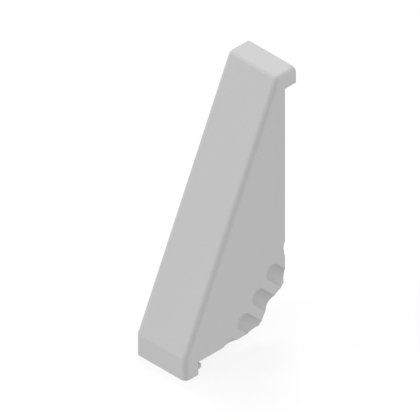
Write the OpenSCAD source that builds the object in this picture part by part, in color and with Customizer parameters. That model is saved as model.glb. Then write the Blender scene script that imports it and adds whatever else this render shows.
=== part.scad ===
/* [Body] */
// Overall width across the two side walls
cap_w = 37.4; // [30:0.1:60]
// Overall depth, from the front lip to the plane of the bracket's long leg
cap_d = 83; // [76:0.5:120]
// Overall height, from the plane of the bracket's short leg to the top face
cap_h = 162.9; // [120:0.1:240]
// Height of the upright front face below the ramp
front_h = 13.2; // [11:0.1:24]
// Depth of the flat top face above the ramp
top_d = 13.7; // [11:0.1:24]
// Wall thickness of the moulding
wall = 2.5; // [2:0.1:3.5]
// Radius rolled along the outer edges of the front, ramp and top
edge_r = 3.1; // [2:0.1:4.5]
// Radius left in the inner corners behind those edges
inner_r = 1; // [0.5:0.1:2]

/* [Bracket clearance] */
// Gap that the side walls leave for the bracket's legs
leg_gap = 8.2; // [8:0.1:9]
// Length of the lips that close over the ends of the legs
lip_reach = 9.8; // [6:0.1:11]
// Radius of the relief around the bracket's outer corner
relief_r = 28; // [14:0.5:32]

/* [Flutes] */
// Number of flutes on each side wall
flute_count = 5; // [1:2:5]
// Spacing of the flutes, square to their length
flute_pitch = 15.1; // [11:0.1:17]
// Width of a flute at the wall's outer face
flute_w = 9.8; // [6:0.1:11]
// Depth of a flute at its middle
flute_depth = 1.27; // [0.6:0.01:1.5]
// Distance of the flute tips from the bracket's outer corner
flute_reach = 44.8; // [38:0.1:50]

/* [Snap nubs] */
// Radius of the nubs on the lower lip
nub_r = 1.75; // [1.4:0.05:2]
// Height of the nubs' axes above the short leg's plane
nub_z = 4.75; // [3:0.05:5.8]
// Distance of the nubs' axes behind the lip's rear edge
nub_out = 1.1; // [0:0.1:1.2]
// Set-back of a nub from the wall's outer face
nub_inset = 0.5; // [0.1:0.1:1]

/* [Hidden] */
$fn = 96;

// Overshoot of a cutter past the faces that it opens
over = 5;
// Small amount by which each rolled surface crosses its neighbours, instead of only touching them
bite = 0.005;
// Slope of the ramp above the horizontal
ramp_a = atan2(cap_h - front_h, cap_d - top_d);
// Directions of the outward normals of the top, the ramp and the front, as angles above the +Y axis
top_normal = 90;
ramp_normal = top_normal + ramp_a;
front_normal = 180;
// Radius of the ball that cuts a flute of the stated width and depth
flute_r = (pow(flute_w / 2, 2) + pow(flute_depth, 2)) / (2 * flute_depth);
// Distance of the ball's last centre from the bracket's outer corner
flute_l = flute_reach - flute_w / 2;

// Corner of the side outline between front and ramp, moved inward by an offset
function low_fold(inset) = [inset - cap_d, front_h - inset * tan((90 - ramp_a) / 2)];

// Corner of the side outline between ramp and top, moved inward by an offset
function high_fold(inset) = [inset * tan(ramp_a / 2) - top_d, cap_h - inset];

// Extrudes a depth and height outline to both sides of the middle plane
module across(width) {
    rotate([90, 0, 90])
        linear_extrude(height = width, center = true)
            children();
}

// Mirrors its children to the left for the side -1
module on_side(side) {
    mirror([side < 0 ? 1 : 0, 0, 0])
        children();
}

// Cutter that rolls a straight edge, from a start on the roll's axis, beside the face with the given normal
module edge_cutter(start, normal, length, roll_r) {
    reach = roll_r + over;
    ends = 2 * over;
    translate(start)
        rotate([normal, 0, 0])
            difference() {
                translate([0, 0, -ends])
                    cube([reach, reach, length + 2 * ends]);
                translate([0, 0, -ends - over])
                    cylinder(h = length + 2 * ends + 2 * over, r = roll_r);
            }
}

// Sector around a fold, between two face normals and two distances from the middle plane
module fold_sector(first, last, from_x, to_x, reach) {
    rotate([90, 0, 90])
        rotate([0, 0, first])
            rotate_extrude(angle = last - first)
                translate([0, from_x])
                    square([reach, to_x - from_x]);
}

// Cutter that rolls a fold across the full width and balls the corner at each end of it
module fold_cutter(centre, first, last, axis_x, roll_r) {
    reach = roll_r + over;
    half = axis_x + reach;
    translate([0, centre[0], centre[1]]) {
        difference() {
            fold_sector(first, last, -half, half, reach);
            rotate([0, 90, 0])
                cylinder(h = 2 * half + 2 * over, r = roll_r, center = true);
        }
        for (side = [-1, 1])
            on_side(side)
                difference() {
                    fold_sector(first, last, axis_x, half, reach);
                    translate([axis_x, 0, 0])
                        sphere(r = roll_r + bite);
                }
    }
}

// Wedge set in from the outer faces, with its visible edges rolled and its open sides moved out
module rolled_wedge(inset, roll_r, overshoot) {
    axis_in = inset + roll_r - bite;
    axis_x = cap_w / 2 - axis_in;
    low = low_fold(axis_in);
    high = high_fold(axis_in);
    difference() {
        across(cap_w - 2 * inset)
            polygon([
                [inset - cap_d, -overshoot],
                low_fold(inset),
                high_fold(inset),
                [overshoot, cap_h - inset],
                [overshoot, -overshoot]
            ]);
        for (side = [-1, 1])
            on_side(side) {
                edge_cutter([axis_x, 0, high[1]], top_normal, -high[0], roll_r);
                edge_cutter([axis_x, high[0], high[1]], ramp_normal, norm(high - low), roll_r);
                edge_cutter([axis_x, low[0], low[1]], front_normal, low[1], roll_r);
            }
        fold_cutter(high, top_normal, ramp_normal, axis_x, roll_r);
        fold_cutter(low, ramp_normal, front_normal, axis_x, roll_r);
    }
}

// Space of the bracket's two legs, with the relief around its outer corner
module leg_space() {
    span = cap_w + 2 * over;
    across(span)
        polygon([
            [lip_reach - cap_d, -over],
            [lip_reach - cap_d, leg_gap],
            [-leg_gap, leg_gap],
            [-leg_gap, cap_h - lip_reach],
            [over, cap_h - lip_reach],
            [over, -over]
        ]);
    rotate([0, 90, 0])
        cylinder(h = span, r = relief_r, center = true);
}

// Ball-ended flutes in one side wall, parallel to the diagonal of the bracket's corner
module flutes() {
    middle = (flute_count - 1) / 2;
    rotate([45, 0, 0])
        for (i = [0 : flute_count - 1])
            translate([cap_w / 2 - flute_depth + flute_r, (i - middle) * flute_pitch, 0]) {
                cylinder(h = flute_l, r = flute_r);
                translate([0, 0, flute_l])
                    sphere(r = flute_r);
            }
}

// Round nub that stands out from the rear edge of the lower lip
module snap_nub() {
    nub_w = wall - nub_inset;
    translate([cap_w / 2 - wall + nub_w / 2, lip_reach - cap_d + nub_out, nub_z])
        rotate([0, 90, 0])
            cylinder(h = nub_w, r = nub_r, center = true);
}

// Moulded cap that snaps over an angle bracket
module cover_cap() {
    color([0.76, 0.76, 0.76]) {
        difference() {
            rolled_wedge(0, edge_r, 0);
            rolled_wedge(wall, inner_r, over);
            leg_space();
            for (side = [-1, 1])
                on_side(side)
                    flutes();
        }
        for (side = [-1, 1])
            on_side(side)
                snap_nub();
    }
}

cover_cap();
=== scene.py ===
import math

import bmesh
import bpy
from mathutils import Matrix, Vector


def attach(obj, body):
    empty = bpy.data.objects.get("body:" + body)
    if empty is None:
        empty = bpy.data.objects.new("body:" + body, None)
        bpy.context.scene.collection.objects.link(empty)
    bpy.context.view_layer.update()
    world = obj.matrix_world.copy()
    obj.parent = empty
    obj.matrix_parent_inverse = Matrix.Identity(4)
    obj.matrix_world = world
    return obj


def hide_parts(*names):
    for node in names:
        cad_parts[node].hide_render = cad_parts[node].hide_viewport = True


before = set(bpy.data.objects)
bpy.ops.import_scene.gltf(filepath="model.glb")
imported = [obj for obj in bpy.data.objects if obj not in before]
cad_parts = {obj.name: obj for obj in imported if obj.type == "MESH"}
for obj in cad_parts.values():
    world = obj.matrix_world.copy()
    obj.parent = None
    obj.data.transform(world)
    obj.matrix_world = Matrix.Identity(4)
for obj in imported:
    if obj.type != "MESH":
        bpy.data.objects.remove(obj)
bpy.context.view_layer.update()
print("frame loaded:", sorted(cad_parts))

mm = 0.001  # sizes below are in millimetres unless a note says otherwise, and meshes end in metres
halfTurn = math.pi
quarterTurn = math.pi / 2
sameDigits = 6  # places that agree to this many digits are one place


def linearColour(code):  # sRGB hex to the linear values that the shaders use
    parts = [int(code[i:i + 2], 16) / 255 for i in (1, 3, 5)]
    linear = [p / 12.92 if p <= 0.04045 else ((p + 0.055) / 1.055) ** 2.4 for p in parts]
    return (*linear, 1.0)


def addNode(tree, kind, settings=None, values=None, links=None):
    node = tree.nodes.new(kind)
    for name, value in (settings or {}).items():
        setattr(node, name, value)
    for name, value in (values or {}).items():
        node.inputs[name].default_value = value
    for name, source in (links or {}).items():
        tree.links.new(source, node.inputs[name])
    return node


def newObject(name, bm):
    mesh = bpy.data.meshes.new(name)
    bmesh.ops.scale(bm, vec=(mm, mm, mm), verts=bm.verts)
    bmesh.ops.recalc_face_normals(bm, faces=bm.faces)
    bm.to_mesh(mesh)
    bm.free()
    obj = bpy.data.objects.new(name, mesh)
    bpy.context.scene.collection.objects.link(obj)
    return obj


def addRow(bm, places):  # a row of vertices, in which places that fall together share one
    known = {}
    row = []
    for place in places:
        key = tuple(round(c, sameDigits) for c in place)
        if key not in known:
            known[key] = bm.verts.new(place)
        row.append(known[key])
    return row


def addFace(bm, corners):  # corners that fall together at the end of a roll count once
    single = list(dict.fromkeys(corners))
    if len(single) > 2:
        bm.faces.new(single)


# moulded polyamide from a spark-eroded cavity: an even matt grey, whose fine pits break up
# every highlight and leave the rolled edges soft, with painted shade in its hollows
plastic = {
    "light": "#c3c3c3",
    "dark": "#bebebe",
    "ior": 1.53,
    "roughLow": 0.52,
    "roughHigh": 0.64,
    # real pits are about 0.1 mm wide and 0.015 mm deep, and drawn coarser here so that they show
    "pitSize": 0.55,
    "pitDepth": 0.08,
    "pitDetail": 2.0,
    "pitGrain": 0.55,
    "pitLow": 0.3,  # noise values that stand for the floor and the rim of a pit
    "pitHigh": 0.7,
    "flowSize": 28.0,  # faint clouds left by the flow of the melt
    "flowDetail": 3.0,
    "flowGrain": 0.5,
    "flowShare": 0.5,  # part of the clouds in the colour, beside the pits
    "paintedShadeReach": 12.0,  # width over which painted shade darkens a hollow
    "paintedShadeFall": 16.0,  # power of the open share of the half-space, so that shallow hollows get painted shade too
    "paintedShadeDeepest": 0.68,  # share of the colour that the painted shade leaves in the deepest hollow
    "paintedShadeRays": 64,  # enough to bake without grain
}


def sparkErodedPlastic():
    material = bpy.data.materials.new("polyamideSparkEroded")
    material.use_nodes = True
    tree = material.node_tree
    tree.nodes.clear()
    place = addNode(tree, "ShaderNodeTexCoord").outputs["Object"]
    noises = {}
    for name in ("pit", "flow"):
        noise = addNode(tree, "ShaderNodeTexNoise", {"noise_dimensions": "3D"},
                        {"Scale": 1 / (plastic[name + "Size"] * mm), "Detail": plastic[name + "Detail"],
                         "Roughness": plastic[name + "Grain"]}, {"Vector": place})
        noises[name] = noise.outputs["Fac"]
    # sockets of a Mix node share their names, so they go by number
    mottle = addNode(tree, "ShaderNodeMix", {"data_type": "FLOAT"}, {0: plastic["flowShare"]},
                     {2: noises["pit"], 3: noises["flow"]})
    colour = addNode(tree, "ShaderNodeMix", {"data_type": "RGBA"},
                     {6: linearColour(plastic["dark"]), 7: linearColour(plastic["light"])},
                     {0: mottle.outputs[0]})
    # painted shade: the colour is darkened by the occlusion of each spot, so flutes and inner corners
    # look a shade deeper than the flats
    hollow = addNode(tree, "ShaderNodeAmbientOcclusion",
                     {"only_local": True, "samples": plastic["paintedShadeRays"]},
                     {"Distance": plastic["paintedShadeReach"] * mm})
    openness = addNode(tree, "ShaderNodeMath", {"operation": "POWER"}, {1: plastic["paintedShadeFall"]},
                       {0: hollow.outputs["AO"]})
    # painted shade factor, from the full colour down to the darkest hollow
    depth = addNode(tree, "ShaderNodeMapRange", None, {"To Min": plastic["paintedShadeDeepest"], "To Max": 1.0},
                    {"Value": openness.outputs[0]})
    paintedShadeColour = addNode(tree, "ShaderNodeVectorMath", {"operation": "SCALE"}, None,
                     {0: colour.outputs[2], "Scale": depth.outputs["Result"]})
    rough = addNode(tree, "ShaderNodeMapRange", None,
                    {"From Min": plastic["pitLow"], "From Max": plastic["pitHigh"],
                     "To Min": plastic["roughLow"], "To Max": plastic["roughHigh"]},
                    {"Value": noises["pit"]})
    bump = addNode(tree, "ShaderNodeBump", None, {"Strength": 1.0, "Distance": plastic["pitDepth"] * mm},
                   {"Height": noises["pit"]})
    shader = addNode(tree, "ShaderNodeBsdfPrincipled", None, {"IOR": plastic["ior"], "Metallic": 0.0},
                     {"Base Color": paintedShadeColour.outputs[0], "Roughness": rough.outputs["Result"],
                      "Normal": bump.outputs["Normal"]})
    addNode(tree, "ShaderNodeOutputMaterial", None, None, {"Surface": shader.outputs["BSDF"]})
    return material


# the cap: a rolled wedge, hollowed to one wall thickness and open towards both legs of the bracket
cap = {
    "width": 37.4,
    "depth": 83.0,
    "height": 162.9,
    "frontHeight": 13.2,
    "topDepth": 13.7,
    "wall": 2.5,
    "edgeRadius": 3.1,
    "innerRadius": 1.0,
    "legGap": 8.2,
    "lipReach": 9.8,
    "reliefRadius": 28.0,
    "rollSteps": 12,
    "foldSteps": 8,
    "reliefSteps": 40,
    "rimBreak": 0.08,  # rounding of the rims where the mould closed
    "rimSteps": 2,
    "rimAngle": 40.0,  # degrees
    "weld": 0.002,  # slivers under this size are closed up
    "smoothAngle": 18.0,  # degrees
    "flatWeight": 100,  # how strongly a large face keeps its own shading
}
rampSlope = math.atan2(cap["height"] - cap["frontHeight"], cap["depth"] - cap["topDepth"])
rampNormal = quarterTurn + rampSlope


def foldCentres(axisIn):  # where the rolls of both folds turn, at a depth below the outer faces
    lowZ = cap["frontHeight"] - axisIn * math.tan((quarterTurn - rampSlope) / 2)
    highY = axisIn * math.tan(rampSlope / 2) - cap["topDepth"]
    return (axisIn - cap["depth"], lowZ), (highY, cap["height"] - axisIn)


def outlinePoints(inset, radius, reach):  # side outline from the lower lip to the upper one
    low, high = foldCentres(inset + radius)
    steps = cap["foldSteps"]
    points = [(low[0] - reach, 0.0)]
    for centre, first, last in ((low, halfTurn, rampNormal), (high, rampNormal, quarterTurn)):
        for i in range(steps + 1):
            turn = first + (last - first) * i / steps
            points.append((centre[0] + reach * math.cos(turn), centre[1] + reach * math.sin(turn)))
    points.append((0.0, high[1] + reach))
    return points


def rolledRows(bm, inset, radius):  # rows of vertices from the left wall over to the right wall
    steps = cap["rollSteps"]
    axisX = cap["width"] / 2 - inset - radius
    rolls = [quarterTurn * (1 - i / steps) for i in range(steps + 1)]
    stations = [(-axisX - radius * math.sin(r), radius * math.cos(r)) for r in rolls]
    stations += [(-x, reach) for x, reach in reversed(stations)]
    rows = [addRow(bm, [(x, y, z) for y, z in outlinePoints(inset, radius, reach)])
            for x, reach in stations]
    for near, far in zip(rows, rows[1:]):
        for i in range(len(near) - 1):
            addFace(bm, [near[i], far[i], far[i + 1], near[i + 1]])
    return rows


def matingPath():  # edge of a side wall along the bracket, from the upper lip down to the lower one
    gap, lip, reach = cap["legGap"], cap["lipReach"], cap["reliefRadius"]
    away = math.sqrt(reach ** 2 - gap ** 2)
    first = math.atan2(away, -gap)
    last = math.atan2(gap, -away)
    steps = cap["reliefSteps"]
    arc = [first + (last - first) * i / steps for i in range(steps + 1)]
    path = [(0.0, cap["height"] - lip), (-gap, cap["height"] - lip)]
    path += [(reach * math.cos(a), reach * math.sin(a)) for a in arc]
    path += [(lip - cap["depth"], gap), (lip - cap["depth"], 0.0)]
    return path


def shellObject():
    bm = bmesh.new()
    outer = rolledRows(bm, 0.0, cap["edgeRadius"])
    inner = rolledRows(bm, cap["wall"], cap["innerRadius"])
    for k in range(len(outer) - 1):
        for end in (0, -1):  # rims under the front and behind the top
            addFace(bm, [outer[k][end], outer[k + 1][end], inner[k + 1][end], inner[k][end]])
    for k in (0, -1):  # both side walls
        chains = []
        for rows in (outer, inner):
            x = rows[k][0].co.x
            path = [bm.verts.new((x, y, z)) for y, z in matingPath()]
            addFace(bm, rows[k] + path)
            chains.append([rows[k][-1]] + path + [rows[k][0]])
        for i in range(len(chains[0]) - 1):
            addFace(bm, [chains[0][i], chains[0][i + 1], chains[1][i + 1], chains[1][i]])
    return newObject("coverCap", bm)


# ball-ended flutes beside the bracket's corner, a grip for pulling the cap off
flute = {
    "count": 5,
    "pitch": 15.1,
    "width": 9.8,
    "depth": 1.27,
    "reach": 44.8,
    "arcSteps": 14,
    "tipSteps": 36,
    "proud": 0.9,  # how far the cutter stands out of the wall
}
across = Vector((0, 1, 1)).normalized()
along = Vector((0, -1, 1)).normalized()


def fluteCutter():
    radius = ((flute["width"] / 2) ** 2 + flute["depth"] ** 2) / (2 * flute["depth"])
    lastCentre = flute["reach"] - flute["width"] / 2
    floorX = cap["width"] / 2 - flute["depth"]
    widest = math.acos(1 - (flute["depth"] + flute["proud"]) / radius)
    sweeps = [halfTurn * i / flute["tipSteps"] for i in range(flute["tipSteps"] + 1)]
    bm = bmesh.new()
    rings = []
    for k in range(flute["arcSteps"] + 1):
        turn = widest * k / flute["arcSteps"]
        half = radius * math.sin(turn)
        middle = Vector((floorX + radius * (1 - math.cos(turn)), 0, 0))
        spots = [(half, 0.0)]
        spots += [(half * math.cos(s), lastCentre + half * math.sin(s)) for s in sweeps]
        spots.append((-half, 0.0))
        rings.append(addRow(bm, [middle + across * side + along * forward for side, forward in spots]))
    for low, high in zip(rings, rings[1:]):
        for i in range(len(low) - 1):
            addFace(bm, [low[i], low[i + 1], high[i + 1], high[i]])
    addFace(bm, rings[-1])
    addFace(bm, [ring[0] for ring in rings] + [ring[-1] for ring in reversed(rings)])
    return newObject("fluteCutter", bm)


# round nubs behind the lower lip, which snap under the end of the bracket's short leg
nub = {
    "radius": 1.75,
    "height": 4.75,
    "behind": 1.1,  # axis behind the lip
    "inset": 0.5,
    "length": 1.95,  # ends just inside the wall, so that no two faces lie in one plane
    "steps": 64,
    "edge": 0.2,
    "edgeSteps": 3,
    "edgeProfile": 0.5,  # a quarter of a circle
}


def nubObject():
    bm = bmesh.new()
    turn = Matrix.Rotation(quarterTurn, 4, "Y")
    bmesh.ops.create_cone(bm, cap_ends=True, segments=nub["steps"], radius1=nub["radius"],
                          radius2=nub["radius"], depth=nub["length"], matrix=turn)
    rims = [e for e in bm.edges if e.calc_face_angle(0) > quarterTurn / 2]
    bmesh.ops.bevel(bm, geom=rims, offset=nub["edge"], segments=nub["edgeSteps"],
                    profile=nub["edgeProfile"], affect="EDGES")
    return newObject("snapNub", bm)


gripInputs = {
    "Shell": "NodeSocketGeometry",
    "Flute": "NodeSocketObject",
    "Nub": "NodeSocketObject",
    "Flute Count": "NodeSocketInt",
    "Flute Pitch": "NodeSocketFloat",
    "Nub Spread": "NodeSocketFloat",
    "Nub Depth": "NodeSocketFloat",
    "Nub Height": "NodeSocketFloat",
    "Plastic": "NodeSocketMaterial",
}


def gripTree():  # cuts the row of flutes into both walls and welds the nubs on
    tree = bpy.data.node_groups.new("fluteRows", "GeometryNodeTree")
    sockets = {name: tree.interface.new_socket(name=name, in_out="INPUT", socket_type=kind)
               for name, kind in gripInputs.items()}
    tree.interface.new_socket(name="Cap", in_out="OUTPUT", socket_type="NodeSocketGeometry")
    given = addNode(tree, "NodeGroupInput").outputs

    # a row of cutters, centred on the diagonal, and the same row turned over to the other wall
    cutter = addNode(tree, "GeometryNodeObjectInfo", None, None, {"Object": given["Flute"]})
    step = addNode(tree, "ShaderNodeVectorMath", {"operation": "SCALE"}, {0: across},
                   {"Scale": given["Flute Pitch"]})
    spans = addNode(tree, "ShaderNodeMath", {"operation": "SUBTRACT"}, {1: 1.0},
                    {0: given["Flute Count"]})
    back = addNode(tree, "ShaderNodeMath", {"operation": "MULTIPLY"}, {1: -0.5}, {0: spans.outputs[0]})
    start = addNode(tree, "ShaderNodeVectorMath", {"operation": "SCALE"}, None,
                    {0: step.outputs[0], "Scale": back.outputs[0]})
    line = addNode(tree, "GeometryNodeMeshLine", {"mode": "OFFSET"}, None,
                   {"Count": given["Flute Count"], "Start Location": start.outputs[0],
                    "Offset": step.outputs[0]})
    row = addNode(tree, "GeometryNodeInstanceOnPoints", None, None,
                  {"Points": line.outputs[0], "Instance": cutter.outputs["Geometry"]})
    turn = addNode(tree, "FunctionNodeAxisAngleToRotation", None, {"Axis": along, "Angle": halfTurn})
    farRow = addNode(tree, "GeometryNodeTransform", None, None,
                     {"Geometry": row.outputs[0], "Rotation": turn.outputs[0]})
    both = addNode(tree, "GeometryNodeJoinGeometry", None, None, {"Geometry": row.outputs[0]})
    tree.links.new(farRow.outputs[0], both.inputs["Geometry"])
    tools = addNode(tree, "GeometryNodeRealizeInstances", None, None, {"Geometry": both.outputs[0]})
    fluted = addNode(tree, "GeometryNodeMeshBoolean", {"operation": "DIFFERENCE", "solver": "EXACT"},
                     None, {"Mesh 1": given["Shell"], "Mesh 2": tools.outputs[0]})

    # one nub in each wall
    nubInfo = addNode(tree, "GeometryNodeObjectInfo", None, None, {"Object": given["Nub"]})
    left = addNode(tree, "ShaderNodeMath", {"operation": "MULTIPLY"}, {1: -0.5},
                   {0: given["Nub Spread"]})
    nubStart = addNode(tree, "ShaderNodeCombineXYZ", None, None,
                       {"X": left.outputs[0], "Y": given["Nub Depth"], "Z": given["Nub Height"]})
    nubStep = addNode(tree, "ShaderNodeCombineXYZ", None, None, {"X": given["Nub Spread"]})
    pair = addNode(tree, "GeometryNodeMeshLine", {"mode": "OFFSET"}, {"Count": 2},
                   {"Start Location": nubStart.outputs[0], "Offset": nubStep.outputs[0]})
    nubs = addNode(tree, "GeometryNodeInstanceOnPoints", None, None,
                   {"Points": pair.outputs[0], "Instance": nubInfo.outputs["Geometry"]})
    nubSolids = addNode(tree, "GeometryNodeRealizeInstances", None, None, {"Geometry": nubs.outputs[0]})
    welded = addNode(tree, "GeometryNodeMeshBoolean", {"operation": "UNION", "solver": "EXACT"}, None,
                     {"Mesh 2": fluted.outputs[0]})
    tree.links.new(nubSolids.outputs[0], welded.inputs["Mesh 2"])

    real = addNode(tree, "GeometryNodeRealizeInstances", None, None, {"Geometry": welded.outputs[0]})
    painted = addNode(tree, "GeometryNodeSetMaterial", None, None,
                      {"Geometry": real.outputs[0], "Material": given["Plastic"]})
    addNode(tree, "NodeGroupOutput", None, None, {"Cap": painted.outputs[0]})
    return tree, sockets


def applyModifiers(obj):  # what the modifiers make becomes the object's own mesh
    bpy.context.view_layer.update()
    depsgraph = bpy.context.evaluated_depsgraph_get()
    obj.data = bpy.data.meshes.new_from_object(obj.evaluated_get(depsgraph))
    obj.modifiers.clear()


def addGrip(obj):
    cutter, stud = fluteCutter(), nubObject()
    rim = obj.modifiers.new("rimBreak", "BEVEL")
    rim.limit_method = "ANGLE"
    rim.angle_limit = math.radians(cap["rimAngle"])
    rim.offset_type = "OFFSET"
    rim.width = cap["rimBreak"] * mm
    rim.segments = cap["rimSteps"]
    grip = obj.modifiers.new("grip", "NODES")
    tree, sockets = gripTree()
    grip.node_group = tree
    values = {
        "Flute": cutter,
        "Nub": stud,
        "Flute Count": flute["count"],
        "Flute Pitch": flute["pitch"] * mm,
        "Nub Spread": (cap["width"] - 2 * nub["inset"] - nub["length"]) * mm,
        "Nub Depth": (cap["lipReach"] - cap["depth"] + nub["behind"]) * mm,
        "Nub Height": nub["height"] * mm,
        "Plastic": sparkErodedPlastic(),
    }
    for name, value in values.items():
        grip[sockets[name].identifier] = value
    applyModifiers(obj)
    for tool in (cutter, stud):
        bpy.data.objects.remove(tool)


def smoothRolls(obj):  # closes slivers, then shades the rolls round and the flats flat
    mesh = obj.data
    bm = bmesh.new()
    bm.from_mesh(mesh)
    bmesh.ops.remove_doubles(bm, verts=bm.verts, dist=cap["weld"] * mm)
    bmesh.ops.dissolve_degenerate(bm, edges=bm.edges, dist=cap["weld"] * mm)
    bm.to_mesh(mesh)
    bm.free()
    for face in mesh.polygons:
        face.use_smooth = True
    mesh.set_sharp_from_angle(angle=math.radians(cap["smoothAngle"]))
    even = obj.modifiers.new("evenFlats", "WEIGHTED_NORMAL")
    even.mode = "FACE_AREA"
    even.weight = cap["flatWeight"]
    even.keep_sharp = True
    applyModifiers(obj)


def coverCap():
    obj = shellObject()
    addGrip(obj)
    smoothRolls(obj)
    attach(obj, "root")
    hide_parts("cover_cap")
    print("cap made:", len(obj.data.polygons), "faces")


coverCap()


# pale studio floor that stays white in the picture and keeps a soft shadow
studio = {
    "floorSize": 6.0,  # m
    "floorDrop": 0.05,  # keeps the floor clear of the cap's foot
    "floor": "#fafafa",
    "whiteShare": 0.85,  # the rest of the floor's look is lit, and holds the shadow
    "ambient": 0.71,
    "sky": "#ffffff",
    "softness": 20.0,  # degrees, width of each lamp seen from the cap
    "lamps": {  # direction from the cap, and strength as the share of white on a card facing it
        "key": ((-0.35, 0.34, 0.87), 0.365),
        "left": ((-0.56, -0.72, 0.40), 0.266),
        "right": ((0.726, 0.672, -0.15), 0.154),
    },
}


def seenRays(tree):  # 1 for every ray that brings the background into the picture
    path = addNode(tree, "ShaderNodeLightPath")
    seen = path.outputs["Is Camera Ray"]
    for name in ("Is Glossy Ray", "Is Transmission Ray"):
        either = addNode(tree, "ShaderNodeMath", {"operation": "MAXIMUM"}, None,
                         {0: seen, 1: path.outputs[name]})
        seen = either.outputs[0]
    return seen


def paintedBoard():  # matt white board: no gloss, so only the cap's shadow marks it
    material = bpy.data.materials.new("paintedBoardMatt")
    material.use_nodes = True
    tree = material.node_tree
    tree.nodes.clear()
    board = addNode(tree, "ShaderNodeBsdfDiffuse", None, {"Color": linearColour(studio["floor"])})
    white = addNode(tree, "ShaderNodeEmission", None,
                    {"Color": linearColour(studio["sky"]), "Strength": 1.0})
    share = addNode(tree, "ShaderNodeMath", {"operation": "MULTIPLY"}, {1: studio["whiteShare"]},
                    {0: seenRays(tree)})
    mix = addNode(tree, "ShaderNodeMixShader", None, None,
                  {0: share.outputs[0], 1: board.outputs[0], 2: white.outputs[0]})
    addNode(tree, "ShaderNodeOutputMaterial", None, None, {"Surface": mix.outputs[0]})
    return material


def studioFloor():
    bm = bmesh.new()
    bmesh.ops.create_grid(bm, x_segments=1, y_segments=1, size=studio["floorSize"] / 2)
    mesh = bpy.data.meshes.new("floor")
    bm.to_mesh(mesh)
    bm.free()
    mesh.materials.append(paintedBoard())
    floor = bpy.data.objects.new("floor", mesh)
    floor.location.z = -studio["floorDrop"] * mm
    bpy.context.scene.collection.objects.link(floor)
    floor.visible_diffuse = False  # the cap stays evenly lit down to the floor
    floor.visible_shadow = False


def studioWorld():
    world = bpy.data.worlds.new("studioWhite")
    bpy.context.scene.world = world
    world.use_nodes = True
    tree = world.node_tree
    tree.nodes.clear()
    strength = addNode(tree, "ShaderNodeMapRange", None, {"To Min": studio["ambient"], "To Max": 1.0},
                       {"Value": seenRays(tree)})
    sky = addNode(tree, "ShaderNodeBackground", None, {"Color": linearColour(studio["sky"])},
                  {"Strength": strength.outputs["Result"]})
    addNode(tree, "ShaderNodeOutputWorld", None, None, {"Surface": sky.outputs[0]})


def studioLamps():
    for name, (direction, share) in studio["lamps"].items():
        data = bpy.data.lights.new(name, "SUN")
        data.energy = share * math.pi
        data.angle = math.radians(studio["softness"])
        lamp = bpy.data.objects.new(name, data)
        lamp.rotation_euler = Vector(direction).to_track_quat("Z", "Y").to_euler()
        bpy.context.scene.collection.objects.link(lamp)


studioFloor()
studioWorld()
studioLamps()
print("studio ready:", len(studio["lamps"]), "lamps")


# isometric view without perspective
view = {
    "towards": (1, -1, 1),  # from the cap to the camera
    "target": (-9.36, -36.46, 74.60),  # at the middle of the picture
    "pixels": 420,
    "pixelsPerMm": 1.8865,
    "distance": 1200.0,
}


def isoCamera():
    data = bpy.data.cameras.new("isoCamera")
    data.type = "ORTHO"
    data.ortho_scale = view["pixels"] / view["pixelsPerMm"] * mm
    camera = bpy.data.objects.new("isoCamera", data)
    towards = Vector(view["towards"]).normalized()
    camera.location = (Vector(view["target"]) + towards * view["distance"]) * mm
    camera.rotation_euler = towards.to_track_quat("Z", "Y").to_euler()
    bpy.context.scene.collection.objects.link(camera)
    bpy.context.scene.camera = camera


isoCamera()
bpy.context.scene.view_settings.view_transform = "Standard"
print("camera placed")
